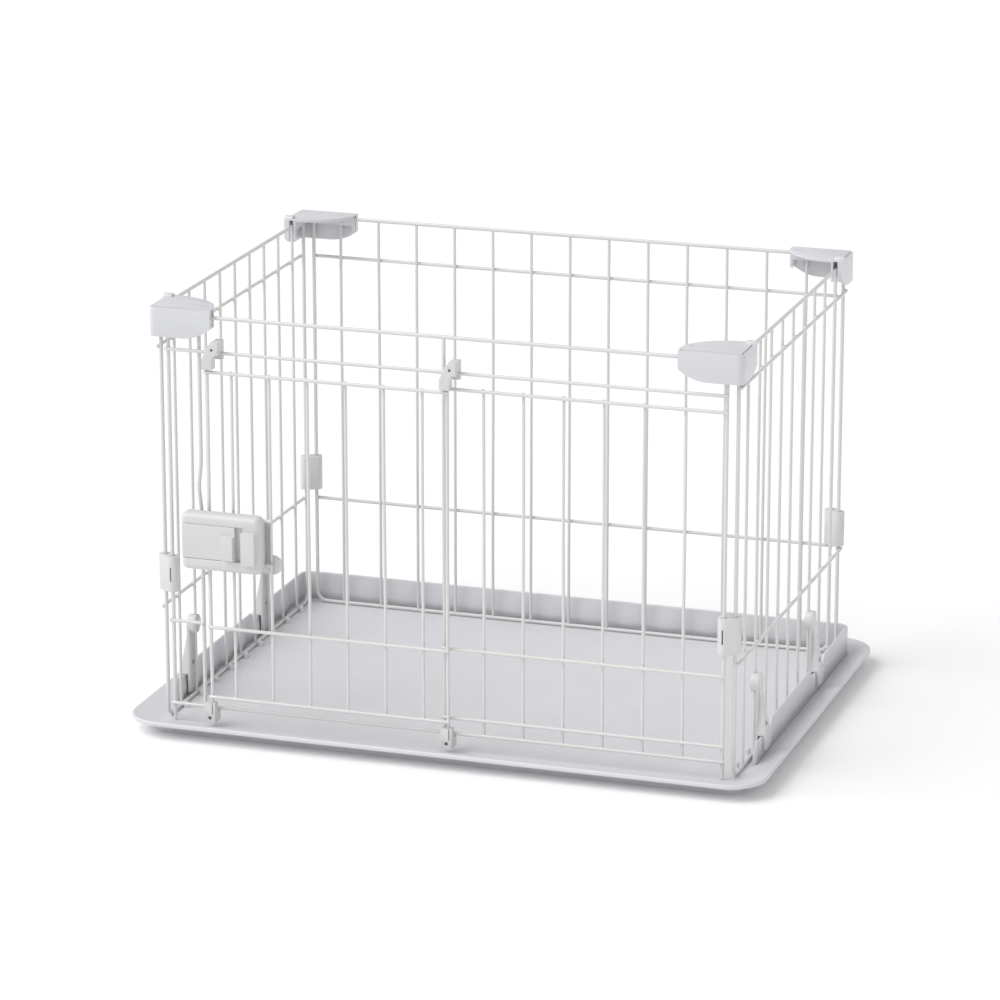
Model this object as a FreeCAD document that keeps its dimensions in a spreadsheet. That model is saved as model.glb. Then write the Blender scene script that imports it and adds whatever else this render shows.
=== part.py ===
"""Wire pet pen with a sliding door, corner caps, side clips and a floor tray.

The origin is on the floor under the middle of the tray: +X runs along the front
panel to the right, +Y to the back panel, +Z up. All sizes are in millimetres.
"""

import FreeCAD, Part
import math
import os

V = FreeCAD.Vector
Z_AXIS = V(0, 0, 1)
ALONG_X = FreeCAD.Rotation(V(0, 1, 0), 90)
ALONG_Y = FreeCAD.Rotation(V(1, 0, 0), -90)
IN_XZ = FreeCAD.Rotation(V(1, 0, 0), 90)
IN_YZ = FreeCAD.Rotation(V(1, 1, 1), 120)

doc = FreeCAD.newDocument("pet_pen")
sheet = doc.addObject("Spreadsheet::Sheet", "sizes")

SIZES = {
    # the wire box, measured between the planes of its four panels
    "pen_width": 600,
    "pen_depth": 418,
    "edge_inset": 10,
    "side_inset": 5.7,
    # wires with their coating
    "frame_rad": 2.0,
    "cross_rad": 1.8,
    "bar_rad": 1.6,
    "cross_out": 3.2,
    "cross_end": 3.0,
    "bend_rad": 11,
    # levels above the floor
    "base_level": 13.3,
    "front_top": 438.7,
    "left_top": 443.8,
    "right_top": 441.4,
    "back_top": 447,
    "left_upper": 403.7,
    "right_upper": 411.5,
    "back_upper": 403,
    "mid_level": 130.5,
    "rail_level": 404,
    "third_level": 387.4,
    "low_level": 119,
    "sill_wire_level": 46.5,
    "sill_level": 30.5,
    "leg_level": 11.4,
    # bars of the panels
    "back_first": 31,
    "back_gaps": 12,
    "side_first": 34.6,
    "side_gaps": 8,
    "left_stile": 43.1,
    "mid_stile": 301.3,
    "front_gaps": 7,
    # sliding door
    "door_left": 54.4,
    "door_right": 307.5,
    "door_out": 8,
    "door_edge_rad": 1.8,
    "door_pitch": 40.2,
    "door_bars": 6,
    "door_top": 385.5,
    "door_low": 118.5,
    "door_bottom": 44,
    "door_edge_top": 396,
    "door_edge_foot": 34,
    "lock_wire_top": 236,
    "lock_wire_low": 190,
    # tray
    "tray_over": 36,
    "lip_level": 19,
    "lip_under": 14.3,
    "lip_width": 2.5,
    "skirt_over": 11,
    "skirt_level": 3,
    "foot_width": 3,
    "floor_level": 11,
    "floor_thick": 2.5,
    "floor_over": 7,
    "tray_corner": 38,
    "wall_over": 8.5,
    "wall_thick": 3,
    "wall_level": 43,
    "wall_front": 48,
    "saddle_level": 34,
    "saddle_length": 60,
    "flute_rad": 9,
    "flute_proud": 2.6,
    "bump_rad": 2.6,
    "bump_in": 6,
    "bump_level": 17.5,
    # tray clips, measured outwards from the plane of the side panel
    "clip_width": 18,
    "clip_inner": 3,
    "clip_front_place": 1,
    "clip_rear_place": 6,
    "clip_level": 88,
    "clip_head_rad": 10,
    "clip_leg_level": 20,
    "clip_slot_level": 44,
    "snug": 0.4,
    # corner caps
    "cap_over": 8,
    "cap_skin": 2.6,
    "cap_arm_x": 58,
    "cap_arm_y": 42,
    "cap_low": 417,
    "cap_flat_x": 27,
    "cap_flat_y": 14,
    "cap_sweep": 47.5,
    "cap_high": 448,
    "cap_ledge": 446.6,
    "cap_plate": 3,
    "cap_roof": 446.2,
    "cap_rib_low": 436,
    "cap_round": 7,
    "cap_lift": 4.5,
    "cap_knob_rad": 5,
    # clips that tie the panels together at half height
    "tie_low": 142,
    "tie_high": 179,
    "tie_rad": 6.4,
    "tie_lift": 7.5,
    "tie_slot": 1.6,
    # hooks on the top rail and guides on the bottom rail
    "hook_low": 389,
    "hook_high": 417,
    "hook_front": 16,
    "hook_left": 51.7,
    "hook_right": 301.5,
    "hook_wide": 10.5,
    "hook_bend": 400,
    "hook_lean": 5.5,
    "knuckle_level": 409.5,
    "knuckle_rad": 6,
    "finger_in": 9,
    "finger_wide": 8,
    "finger_low": 397,
    "hook_rear": 2.5,
    "guide_low": 17,
    "guide_high": 37.5,
    "guide_left": 47.5,
    "guide_right": 301.5,
    "guide_width": 11.5,
    "guide_front": 14.5,
    # lock
    "lock_left": 30,
    "lock_width": 86,
    "lock_low": 182.5,
    "lock_high": 242.5,
    "lock_front": 28,
    "lock_back": 14.4,
    "lock_round": 7,
    "slider_left": 32.5,
    "slider_right": 89,
    "slider_low": 195.5,
    "slider_high": 231.5,
    "slider_thick": 4,
    "ridge_proud": 7,
    "ridge_width": 13,
    "grip_left": 97.6,
    "plate_thick": 2.6,
    "plate_right": 120,
    "lug_rad": 10,
    "spring_rad": 2.6,
    "spring_wire": 0.35,
    "screw_rad": 1.5,
    "screw_head": 3,
}
for row, (word, value) in enumerate(SIZES.items(), start=1):
    sheet.set(f"A{row}", word)
    sheet.set(f"B{row}", str(value))
    sheet.setAlias(f"B{row}", word)
doc.recompute()


def cell(word):
    """The number in a cell of the sheet."""
    return float(sheet.get(word))


def bound(text):
    """Expression text with every word of the sheet written as a reference to its cell."""
    out = []
    for token in text.replace("(", " ( ").replace(")", " ) ").split():
        out.append(f"sizes.{token}" if token in SIZES else token)
    return " ".join(out)


def bind(thing, **targets):
    """Bind properties to expressions; x, y and z are the placement's coordinates."""
    for name, text in targets.items():
        path = f".Placement.Base.{name}" if name in ("x", "y", "z") else name
        thing.setExpression(path, bound(text))


def rod(name, rad, length, place, turn=None):
    """A round bar: radius, length and start point are expressions."""
    bar = doc.addObject("Part::Cylinder", name)
    bar.Placement.Rotation = turn or FreeCAD.Rotation()
    bind(bar, Radius=rad, Height=length, x=place[0], y=place[1], z=place[2])
    return bar


def block(name, size, place):
    """A box from its lowest corner; sizes and place are expressions."""
    box = doc.addObject("Part::Box", name)
    bind(box, Length=size[0], Width=size[1], Height=size[2], x=place[0], y=place[1], z=place[2])
    return box


def fused(label, pieces):
    whole = doc.addObject("Part::MultiFuse", label)
    whole.Shapes = pieces
    whole.Label = label
    return whole


def cut(label, base, tool):
    rest = doc.addObject("Part::Cut", label)
    rest.Base = base
    rest.Tool = tool
    rest.Label = label
    return rest


# ---------------------------------------------------------------- wire panels

class Panel:
    """A welded wire panel standing in the plane across X or across Y.

    along is the axis that its cross wires follow, plane the expression of the
    other coordinate, out the sign of the outward direction and top its highest wire.
    """

    def __init__(self, label, along, plane, out, top):
        self.label = label
        self.top = top
        self.along = along
        self.plane = plane
        self.out = out
        self.wires = []

    def place(self, run, level, outward="0"):
        across = f"{self.plane} + ( {self.out} ) * ( {outward} )"
        return (run, across, level) if self.along == "x" else (across, run, level)

    def upright(self, run, low, high, rad="bar_rad"):
        name = f"{self.label}_wire{len(self.wires)}"
        self.wires.append(rod(name, rad, f"( {high} ) - ( {low} )", self.place(run, low)))

    def cross(self, start, end, level, rad="cross_rad", outward="cross_out"):
        name = f"{self.label}_wire{len(self.wires)}"
        turn = ALONG_X if self.along == "x" else ALONG_Y
        spot = self.place(start, level, outward)
        self.wires.append(rod(name, rad, f"( {end} ) - ( {start} )", spot, turn))

    def bend(self, run, level, quarter):
        """A quarter ring; quarter 0 opens to the far top, then on round the panel."""
        name = f"{self.label}_wire{len(self.wires)}"
        ring = doc.addObject("Part::Torus", name)
        lie = IN_XZ if self.along == "x" else IN_YZ
        ring.Placement.Rotation = lie.multiply(FreeCAD.Rotation(Z_AXIS, 90 * quarter))
        ring.Angle3 = 90
        spot = self.place(run, level)
        bind(ring, Radius1="bend_rad", Radius2="frame_rad", x=spot[0], y=spot[1], z=spot[2])
        self.wires.append(ring)

    def outline(self, near, far, low, legs=False):
        """The bent outer wire: a closed frame, or one that ends in two legs."""
        near_in, far_in = f"{near} + bend_rad", f"{far} - bend_rad"
        high_in = f"{self.top} - bend_rad"
        foot = low if legs else f"{low} + bend_rad"
        for run in (near, far):
            self.upright(run, foot, high_in, "frame_rad")
        self.cross(near_in, far_in, self.top, "frame_rad", "0")
        self.bend(far_in, high_in, 0)
        self.bend(near_in, high_in, 1)
        if not legs:
            self.cross(near_in, far_in, low, "frame_rad", "0")
            self.bend(near_in, f"{low} + bend_rad", 2)
            self.bend(far_in, f"{low} + bend_rad", 3)

    def weld(self):
        return fused(self.label, self.wires)


def back_panel():
    """Closed panel behind: evenly spaced bars between two narrower end gaps."""
    panel = Panel("back_panel", "x", "pen_depth / 2", "1", "back_top")
    near, far = "edge_inset - pen_width / 2", "pen_width / 2 - edge_inset"
    panel.outline(near, far, "base_level")
    for level in ("back_upper", "mid_level"):
        panel.cross(f"{near} - cross_end", f"{far} + cross_end", level)
    pitch = "( pen_width - 2 * edge_inset - 2 * back_first ) / back_gaps"
    for number in range(int(cell("back_gaps")) + 1):
        run = f"{near} + back_first + {number} * {pitch}"
        panel.upright(run, "base_level", "back_top")
    return panel.weld()


def side_panel(name, side):
    """Closed panel at one end of the pen; side is -1 on the left and 1 on the right."""
    top = f"{name}_top"
    panel = Panel(f"{name}_panel", "y", f"( {side} ) * pen_width / 2", str(side), top)
    near, far = "side_inset - pen_depth / 2", "pen_depth / 2 - side_inset"
    panel.outline(near, far, "base_level")
    for level in (f"{name}_upper", "mid_level"):
        panel.cross(f"{near} - cross_end", f"{far} + cross_end", level)
    for number in range(int(cell("side_gaps")) + 1):
        panel.upright(side_bar(number), "base_level", top)
    return panel.weld()


def side_bar(number):
    """Distance along Y of a side panel's bar."""
    first = "side_inset + side_first"
    pitch = f"( pen_depth - 2 * ( {first} ) ) / side_gaps"
    return f"{first} - pen_depth / 2 + {number} * {pitch}"


def front_panel():
    """Panel with the doorway: two rails for the door, and bars on its right half."""
    panel = Panel("front_panel", "x", "-1 * pen_depth / 2", "-1", "front_top")
    near, far = "edge_inset - pen_width / 2", "pen_width / 2 - edge_inset"
    left, mid = "left_stile - pen_width / 2", "mid_stile - pen_width / 2"
    panel.outline(near, far, "leg_level", legs=True)
    near_end, far_end = f"{near} - cross_end", f"{far} + cross_end"
    for level in ("rail_level", "sill_level"):
        panel.cross(near_end, far_end, level)
    panel.cross(near_end, f"{left} + cross_end", "low_level")
    for level in ("third_level", "low_level", "sill_wire_level"):
        panel.cross(f"{mid} - cross_end", far_end, level)
    panel.upright(left, "sill_level", "front_top", "frame_rad")
    panel.upright(mid, "sill_level", "front_top", "frame_rad")
    pitch = f"( {far} - ( {mid} ) ) / front_gaps"
    for number in range(1, int(cell("front_gaps"))):
        panel.upright(f"{mid} + {number} * {pitch}", "sill_level", "third_level")
    return panel.weld()


def door_panel():
    """Welded grid of the sliding door, outside the front panel's wires."""
    panel = Panel("door_panel", "x", "-1 * pen_depth / 2 - door_out", "-1", "door_top")
    near, far = "door_left - pen_width / 2", "door_right - pen_width / 2"
    for run in (near, far):
        panel.upright(run, "door_edge_foot", "door_edge_top", "door_edge_rad")
    for level in ("door_top", "door_low", "door_bottom"):
        panel.cross(f"{near} - cross_end", f"{far} + cross_end", level)
    margin = "( door_right - door_left - ( door_bars - 1 ) * door_pitch ) / 2"
    for number in range(int(cell("door_bars"))):
        panel.upright(f"{near} + {margin} + {number} * door_pitch", "door_bottom", "door_top")
    second = f"{near} + {margin} + door_pitch"
    for level in ("lock_wire_top", "lock_wire_low"):
        panel.cross(f"{near} - cross_end", f"{second} + cross_end", level)
    return panel.weld()



# ---------------------------------------------------------------- floor tray

def outline(name, over, level):
    """Rounded rectangle round the pen, a given distance outside its wire planes."""
    core = doc.addObject("Part::Plane", f"{name}_core")
    grow = "2 * ( tray_over - tray_corner )"
    bind(core, Length=f"pen_width + {grow}", Width=f"pen_depth + {grow}", z=level)
    bind(core, x=f"0 - ( pen_width + {grow} ) / 2", y=f"0 - ( pen_depth + {grow} ) / 2")
    ring = doc.addObject("Part::Offset2D", name)
    ring.Source = core
    ring.Fill = False
    bind(ring, Value=f"{over} + tray_corner - tray_over")
    return ring


def dish(name, low_over, low, high_over, high):
    """Solid with straight flanks between two rounded outlines."""
    solid = doc.addObject("Part::Loft", name)
    solid.Sections = [outline(f"{name}_low", low_over, low), outline(f"{name}_high", high_over, high)]
    solid.Solid = True
    solid.Ruled = True
    return solid


def at_left(over):
    """X a given distance outside the plane of the left panel."""
    return f"0 - pen_width / 2 - ( {over} )"


def flutes():
    """Half-round ribs on the wall's inner face, midway between the pen's bars."""
    rods = []
    spot = "wall_over + flute_rad - flute_proud"
    for side in (-1, 1):
        x = f"( {side} ) * ( pen_width / 2 + {spot} )"
        for number in range(1, int(cell("side_gaps"))):
            y = f"( {side_bar(number)} + {side_bar(number + 1)} ) / 2"
            rods.append((x, y))
    pitch = "( pen_width - 2 * edge_inset - 2 * back_first ) / back_gaps"
    for number in range(int(cell("back_gaps"))):
        x = f"edge_inset + back_first - pen_width / 2 + ( {number} + 0.5 ) * {pitch}"
        rods.append((x, f"pen_depth / 2 + {spot}"))
    high = "saddle_level - floor_level"
    round_bars = [rod(f"flute{number}", "flute_rad", high, (x, y, "floor_level - 0.5"))
                  for number, (x, y) in enumerate(rods)]
    ribs = doc.addObject("Part::MultiCommon", "flute_ribs")
    wall_out = "wall_over + wall_thick - 0.5"
    ribs.Shapes = [fused("flute_bars", round_bars), dish("flute_limit", wall_out, "0", wall_out, "wall_level")]
    return ribs


def tray():
    """Moulded floor tray: foot ring, flared rim, raised floor and a low wall on three sides."""
    under = [
        dish("tray_foot", "skirt_over", "0", "skirt_over", "skirt_level"),
        dish("tray_flare", "skirt_over", "skirt_level", "tray_over", "lip_under"),
        dish("tray_lip", "tray_over", "lip_under", "tray_over", "lip_level"),
    ]
    lip_in = "tray_over - lip_width"
    shell = cut("tray_shell", fused("tray_outside", under), fused("tray_hollows", [
        dish("tray_floor", "floor_over", "floor_level", lip_in, "lip_level"),
        dish("tray_under", "skirt_over - foot_width", "0", "skirt_over - foot_width",
             "floor_level - floor_thick"),
    ]))
    wall_out = "wall_over + wall_thick"
    wall_back = "pen_width + 2 * ( wall_over + wall_thick )"
    front = "wall_front - pen_depth / 2"
    gaps = [
        dish("wall_inside", "wall_over", "0", "wall_over", "wall_level"),
        block("wall_mouth", (wall_back, "pen_depth / 2", "wall_level"),
              (at_left(wall_out), f"{front} - pen_depth / 2", "0")),
    ]
    for number in (int(cell("clip_front_place")), int(cell("clip_rear_place"))):
        spot = (at_left(wall_out), f"{side_bar(number)} - saddle_length / 2", "saddle_level")
        gaps.append(block(f"wall_saddle{number}", (wall_back, "saddle_length", "wall_level"), spot))
    band = dish("wall_band", wall_out, "floor_level - 1", wall_out, "wall_level")
    wall = cut("tray_wall", band, fused("wall_gaps", gaps))
    pieces = [shell, wall, flutes()]
    for side in (-1, 1):
        for number in range(int(cell("side_gaps")) + 1):
            place = (f"( {side} ) * ( pen_width / 2 - bump_in )", side_bar(number), "floor_level - 1")
            pieces.append(rod(f"bump{len(pieces)}", "bump_rad", "bump_level - floor_level + 1", place))
    for number in (1, 2, 3):
        place = (f"pen_width * ( {number} / 4 - 0.5 ) - 2", "0 - pen_depth / 2 - floor_over", "0")
        size = ("4", "pen_depth + 2 * floor_over", "floor_level - 1")
        pieces.append(block(f"tray_rib{number}", size, place))
    return fused("tray", pieces)


def tray_clip(label, number):
    """Clip on the left wall: legs astride the wall, a web, and a head round the wire."""
    run = side_bar(number)
    half = "clip_width / 2"
    low = f"{run} - {half}"
    leg_out = "wall_over + wall_thick + 0.3"
    legs_high = "saddle_level + 3"
    outer = f"{leg_out} + 3"
    strip = block(f"{label}_strip", ("3", "clip_width", "clip_level - 15"),
                  (at_left("clip_inner + 3"), low, "15"))
    leg = block(f"{label}_leg", ("3", "clip_width", f"{legs_high} - clip_leg_level"),
                (at_left(outer), low, "clip_leg_level"))
    bridge = block(f"{label}_bridge", (f"{outer} - clip_inner", "clip_width", "2.7"),
                   (at_left(outer), low, "saddle_level + 0.3"))
    web = doc.addObject("Part::Wedge", f"{label}_web")
    bind(web, Xmin="0", Xmax=f"{outer} - clip_inner - 1", Ymin="0", Ymax="clip_level - saddle_level - 6",
         Zmin="0", Zmax="clip_width", X2min=f"{outer} - clip_inner - 3", X2max=f"{outer} - clip_inner - 1",
         Z2min="4", Z2max="clip_width - 4")
    web.Placement.Rotation = IN_XZ
    bind(web, x=at_left(outer), y=f"{run} + {half}", z="saddle_level + 1")
    head = rod(f"{label}_head", "clip_head_rad", "clip_inner + 5.2",
               (at_left("clip_inner + 3"), run, "clip_level"), ALONG_X)
    whole = fused(f"{label}_whole", [strip, leg, bridge, web, head])
    wire = block(f"{label}_wire", ("20", "2 * bar_rad + 2 * snug", "200"),
                 (at_left("bar_rad + snug"), f"{run} - bar_rad - snug", "0"))
    slot = block(f"{label}_slot", ("40", "6", "4"),
                 (at_left("30"), f"{run} - 3", "clip_slot_level"))
    return cut(label, whole, fused(f"{label}_gaps", [wire, slot]))


def mirrored(label, source, normal):
    """The same moulding on the other side of the pen."""
    copy = doc.addObject("Part::Mirroring", label)
    copy.Source = source
    copy.Normal = normal
    copy.Label = label
    return copy


# ---------------------------------------------------------------- caps and clips

def from_corner(run, depth, level):
    """Point given by its distances from the planes of the left and the front panel."""
    return (f"( {run} ) - pen_width / 2", f"( {depth} ) - pen_depth / 2", level)


def cap_plate(name, lift):
    """Quarter-oval plate that joins the two arms of the cap at the top."""
    oval = doc.addObject("Part::Ellipse", f"{name}_oval")
    spot = from_corner("0", "0", f"cap_high - cap_plate + {lift}")
    bind(oval, MajorRadius="cap_arm_x", MinorRadius="cap_arm_y", x=spot[0], y=spot[1], z=spot[2])
    slab = doc.addObject("Part::Extrusion", f"{name}_slab")
    slab.Base = oval
    slab.Dir = Z_AXIS
    slab.DirMode = "Custom"
    slab.Solid = True
    bind(slab, LengthFwd="cap_plate")
    keep = block(f"{name}_keep", ("cap_arm_x + 10", "cap_arm_y + 10", "100"),
                 from_corner("cap_skin - cap_over + 0.6", "cap_skin - cap_over + 0.6", "cap_low"))
    plate = doc.addObject("Part::MultiCommon", f"{name}_plate")
    plate.Shapes = [slab, keep]
    return plate


def cap_arm(name, lift, along):
    """Skirt, ledge, end wall and inner rib of one arm; along is 0 for X and 1 for Y."""
    arm = ("cap_arm_x", "cap_arm_y")[along]
    low = f"cap_low + {lift}"
    out, skin = "0 - cap_over", "cap_skin"
    start, tall = "cap_round - cap_over", "cap_ledge - cap_low"

    def piece(label, run, depth, level, size):
        spot = (run, depth) if along == 0 else (depth, run)
        sizes = size if along == 0 else (size[1], size[0], size[2])
        return block(f"{name}_{label}{along}", sizes, from_corner(spot[0], spot[1], level))

    return [
        piece("skirt", start, out, low, (f"{arm} - ( {start} )", skin, tall)),
        piece("ledge", start, out, f"cap_ledge - cap_skin + {lift}",
              (f"{arm} - ( {start} )", "cap_over - 4", skin)),
        piece("end", f"{arm} - cap_skin", out, low, (skin, "cap_over + 4.6", "cap_high - 0.8 - cap_low")),
        piece("rib", "10", "2.6", f"cap_rib_low + {lift}", (f"{arm} - 11", "2", "cap_high - 1 - cap_rib_low")),
    ]


def cap_rise(name, lift, along):
    """What is taken off under an arm, so that its lower edge sweeps up to the tip."""
    flat = ("cap_flat_x", "cap_flat_y")[along]
    size = ("60", "30", "30") if along == 0 else ("30", "60", "30")
    run = (flat, "-15") if along == 0 else ("-15", flat)
    under = block(f"{name}_under{along}", size, from_corner(*run, f"cap_low - 15 + {lift}"))
    centre = (flat, "-40") if along == 0 else ("-40", flat)
    round_bar = rod(f"{name}_sweep{along}", "cap_sweep", "80",
                    from_corner(*centre, f"cap_low + cap_sweep + {lift}"), (ALONG_Y, ALONG_X)[along])
    return cut(f"{name}_rise{along}", under, round_bar)


def corner_cap(name, lift):
    """Moulded cap over the front left corner, hollow below for the top wires."""
    posts = []
    for label, rad in (("outer", "cap_round"), ("inner", "cap_round - cap_skin")):
        post = rod(f"{name}_{label}", rad, "cap_ledge - cap_low",
                   from_corner("cap_round - cap_over", "cap_round - cap_over", f"cap_low + {lift}"),
                   FreeCAD.Rotation(Z_AXIS, 180))
        post.Angle = 90
        posts.append(post)
    corner = cut(f"{name}_corner", *posts)
    lid = rod(f"{name}_lid", "cap_round - 0.2", "cap_skin",
              from_corner("cap_round - cap_over", "cap_round - cap_over", f"cap_ledge - cap_skin + {lift}"))
    knob = rod(f"{name}_knob", "cap_knob_rad", "cap_over + 1",
               from_corner("0 - cap_over", "cap_arm_y - cap_knob_rad", f"cap_high - 2 + {lift}"), ALONG_X)
    whole = fused(f"{name}_whole", [corner, lid, knob, cap_plate(name, lift), *cap_arm(name, lift, 0),
                                    *cap_arm(name, lift, 1)])
    gap = "frame_rad + snug"
    roof = "cap_roof - cap_low + 10"
    low = f"cap_low - 10 + {lift}"
    gaps = [
        block(f"{name}_way0", ("90", f"2 * ( {gap} )", roof), from_corner("2", f"0 - ( {gap} )", low)),
        block(f"{name}_way1", (f"2 * ( {gap} )", "90", roof), from_corner(f"0 - ( {gap} )", "0", low)),
        block(f"{name}_slot", ("7", "2.2", "20"), from_corner("44", "8.5", "cap_low + 20")),
        cap_rise(name, lift, 0),
        cap_rise(name, lift, 1),
    ]
    return cut(name, whole, fused(f"{name}_gaps", gaps))


def side_clip(name, lift):
    """Clip at half height that ties the front panel's edge wire to the left panel's."""
    front = from_corner("edge_inset", "0", f"tie_low + {lift}")
    flank = from_corner("0", "side_inset", f"tie_low + {lift}")
    tall = "tie_high - tie_low"
    span = "( ( edge_inset ^ 2 + side_inset ^ 2 ) ^ 0.5 )"
    bridge = block(f"{name}_bridge", (span, "2 * tie_rad", tall),
                   from_corner(f"edge_inset + tie_rad * side_inset / {span}",
                               f"tie_rad * edge_inset / {span}", f"tie_low + {lift}"))
    heading = math.degrees(math.atan2(cell("side_inset"), -cell("edge_inset")))
    bridge.Placement.Rotation = FreeCAD.Rotation(Z_AXIS, heading)
    lobes = [bridge]
    bores = []
    for number, (x, y, low) in enumerate((front, flank)):
        lobes.append(rod(f"{name}_lobe{number}", "tie_rad", tall, (x, y, low)))
        bores.append(rod(f"{name}_bore{number}", "frame_rad + snug", "200", (x, y, f"{low} - 50")))
    slot_low = f"tie_low + {lift} + 0.3 * ( {tall} )"
    slot_tall = f"0.4 * ( {tall} )"
    bores.append(block(f"{name}_slot0", ("tie_slot", "2 * tie_rad", slot_tall),
                       (f"{front[0]} - tie_slot / 2", f"{front[1]} - 2 * tie_rad", slot_low)))
    bores.append(block(f"{name}_slot1", ("2 * tie_rad", "tie_slot", slot_tall),
                       (f"{flank[0]} - 2 * tie_rad", f"{flank[1]} - tie_slot / 2", slot_low)))
    return cut(name, fused(f"{name}_solid", lobes), fused(f"{name}_cuts", bores))


def four_corners(name, front_left, for_right, for_back, for_far):
    """The front left moulding, and mirror images of three like it for the other corners."""
    front_right = mirrored(f"{name}_front_right", for_right, V(1, 0, 0))
    back_left = mirrored(f"{name}_back_left", for_back, V(0, 1, 0))
    back_right = mirrored(f"{name}_back_right", mirrored(f"{name}_far", for_far, V(0, 1, 0)), V(1, 0, 0))
    return [front_left, front_right, back_left, back_right]


# ---------------------------------------------------------------- door fittings

RAIL_Y = "0 - pen_depth / 2 - cross_out"


def door_hook(label, left):
    """Hook that hangs the door on the rail: foot, leaning strut, knuckle and a finger behind the rail."""
    x = f"{left} - pen_width / 2"
    front = "0 - pen_depth / 2 - hook_front"
    deep = "hook_front - 4.5"
    slot_back = f"{RAIL_Y} + cross_rad + snug"
    foot = block(f"{label}_foot", ("hook_wide", deep, "hook_bend - hook_low"), (x, front, "hook_low"))
    strut = doc.addObject("Part::Wedge", f"{label}_strut")
    strut.Placement.Rotation = IN_XZ
    bind(strut, Xmin="0", Xmax="hook_wide", Ymin="0", Ymax="knuckle_level - hook_bend + 3", Zmin="0", Zmax=deep,
         X2min="hook_lean", X2max="hook_wide + hook_lean", Z2min="0", Z2max=deep)
    bind(strut, x=x, y=f"{front} + {deep}", z="hook_bend - 1")
    knuckle_x = f"{x} + hook_lean + 0.5 * hook_wide"
    knuckle = rod(f"{label}_knuckle", "knuckle_rad", deep, (knuckle_x, front, "knuckle_level"), ALONG_Y)
    over = block(f"{label}_over", ("finger_wide", "hook_front + hook_rear", "hook_high - rail_level"),
                 (f"{x} + finger_in", front, "rail_level"))
    lip = block(f"{label}_lip", ("finger_wide", f"0 - pen_depth / 2 + hook_rear - ( {slot_back} )",
                                 "hook_high - finger_low"), (f"{x} + finger_in", slot_back, "finger_low"))
    whole = fused(f"{label}_whole", [foot, strut, knuckle, over, lip])
    slot = "2 * ( cross_rad + snug )"
    bore = rod(f"{label}_bore", "cross_rad + snug", "60", (f"{x} - 20", RAIL_Y, "rail_level"), ALONG_X)
    mouth = block(f"{label}_mouth", ("60", slot, "20"),
                  (f"{x} - 20", f"{RAIL_Y} - cross_rad - snug", "rail_level - 20"))
    eye = rod(f"{label}_eye", "1.5", "60", (knuckle_x, f"{front} - 10", "knuckle_level"), ALONG_Y)
    return cut(label, whole, fused(f"{label}_gaps", [bore, mouth, eye, *door_gaps(label)]))


def door_gaps(label):
    """Room in a door fitting for the door's own wires, which it grips."""
    edge = "door_left" if "left" in label else "door_right"
    x = f"{edge} - pen_width / 2"
    plane = "0 - pen_depth / 2 - door_out"
    wide = "door_edge_rad + 0.05"
    post = rod(f"{label}_post", wide, "door_edge_top - door_edge_foot + 0.2",
               (x, plane, "door_edge_foot - 0.1"))
    cross = f"0 - pen_depth / 2 - door_out - cross_out"
    wires = [post]
    for level in ("door_top", "door_bottom"):
        wires.append(rod(f"{label}_{level}", "cross_rad + 0.05", "door_right - door_left + 12",
                         ("door_left - 6 - pen_width / 2", cross, level), ALONG_X))
    return wires


def door_guide(label, left):
    """Guide on the foot of the door's edge wire, with a lip under and behind the bottom rail."""
    x = f"{left} - pen_width / 2"
    front = "0 - pen_depth / 2 - guide_front"
    body = block(f"{label}_body", ("guide_width", "guide_front - cross_out - cross_rad - snug",
                                   "guide_high - guide_low"), (x, front, "guide_low"))
    shelf_high = "sill_level - cross_rad - snug"
    shelf = block(f"{label}_shelf", ("guide_width", "guide_front + 1.5", f"{shelf_high} - guide_low"),
                  (x, front, "guide_low"))
    lip = block(f"{label}_lip", ("guide_width", "2.5", "sill_level - 1 - guide_low"),
                (x, "0 - pen_depth / 2 - 1", "guide_low"))
    eye = rod(f"{label}_eye", "2", "60", (f"{x} + guide_width / 2", f"{front} - 10", "guide_low + 5"),
              ALONG_Y)
    groove = block(f"{label}_groove", ("1.5", "3", "20"), (f"{x} + 8", f"{front} - 1", "guide_low + 9"))
    return cut(label, fused(f"{label}_whole", [body, shelf, lip]),
               fused(f"{label}_gaps", [eye, groove, *door_gaps(label)]))


# ---------------------------------------------------------------- lock

LOCK_FACE = "0 - pen_depth / 2 - lock_front"
LOCK_BACK = "0 - pen_depth / 2 - lock_back"
PLATE_FACE = "0 - pen_depth / 2 - door_out + door_edge_rad + 0.3"
SCREWS = (("67 - pen_width / 2", "200"), ("100 - pen_width / 2", "226"))


def rounded_lock_box():
    """The lock's outer block, rounded on every edge but those of its back face."""
    box = block("lock_box", ("lock_width", "lock_front - lock_back", "lock_high - lock_low"),
                ("lock_left - pen_width / 2", LOCK_FACE, "lock_low"))
    doc.recompute()
    behind = box.Shape.BoundBox.YMax - 1
    rad = cell("lock_round")
    smooth = doc.addObject("Part::Fillet", "lock_box_smooth")
    smooth.Base = box
    smooth.Edges = [(number, rad, rad) for number, edge in enumerate(box.Shape.Edges, start=1)
                    if edge.CenterOfMass.y < behind]
    return smooth


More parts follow.
